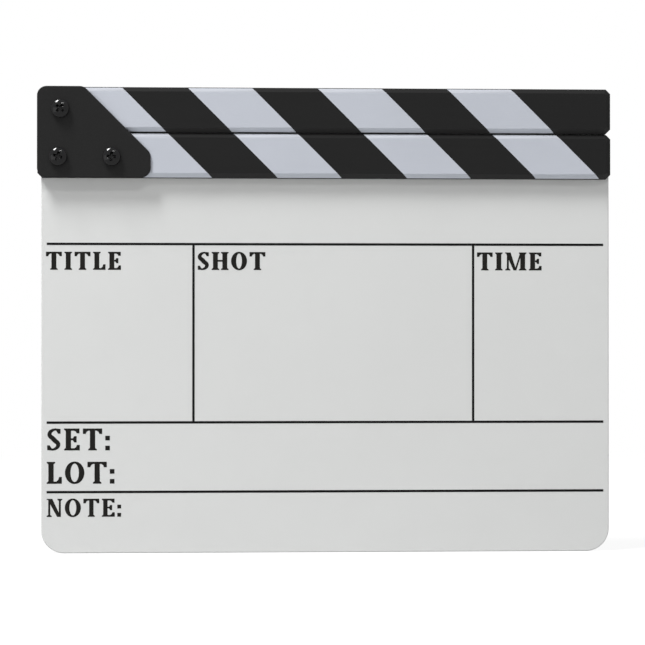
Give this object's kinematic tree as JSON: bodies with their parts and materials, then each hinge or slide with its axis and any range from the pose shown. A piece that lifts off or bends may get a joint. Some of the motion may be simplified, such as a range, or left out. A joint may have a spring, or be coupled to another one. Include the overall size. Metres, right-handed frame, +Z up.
{
  "type": "clapperboard",
  "caption": "Film clapperboard: a white acrylic slate held in a slotted lower stick, with a striped upper stick that swings shut on it between black hinge plates.",
  "frame": {"origin": "middle of the board's bottom edge, at half the board's thickness", "axes": "+X to the right as the slate is read, +Z up from the bottom edge to the sticks, the written side faces -Y"},
  "size_m": [0.3, 0.0247, 0.243],
  "materials": {
    "acrylic_white": "satin white sheet",
    "stick_paint": "satin black and white paint on hardwood",
    "plate_black": "fine black powder coat",
    "screw_black": "black oxide",
    "zinc_steel": "zinc plated",
    "nylon": "natural nylon",
    "bush_brass": "turned brass",
    "magnet_nickel": "nickel plated"
  },
  "bodies": {
    "slate": {"slate_board": "acrylic_white", "lower_stick": "stick_paint", "board_screws": "screw_black", "lower_magnet": "magnet_nickel", "front_hinge_plate": "plate_black", "rear_hinge_plate": "plate_black", "pivot_screw": "screw_black", "pivot_lock_nut": "zinc_steel", "pivot_nut_insert": "nylon", "front_thrust_washer": "nylon", "rear_thrust_washer": "nylon", "outer_plate_screw": "screw_black", "outer_flat_washer": "zinc_steel", "outer_lock_washer": "zinc_steel", "outer_plate_nut": "zinc_steel", "inner_plate_screw": "screw_black", "inner_flat_washer": "zinc_steel", "inner_lock_washer": "zinc_steel", "inner_plate_nut": "zinc_steel"},
    "clapper": {"upper_stick": "stick_paint", "pivot_bush": "bush_brass", "upper_magnet": "magnet_nickel"}
  },
  "joints": [
    {"name": "clap_hinge", "type": "hinge", "parent": "slate", "child": "clapper", "pos_m": [-0.13865, 0, 0.23115], "axis": [0, -1, 0], "range_deg": [0, 90]}
  ]
}
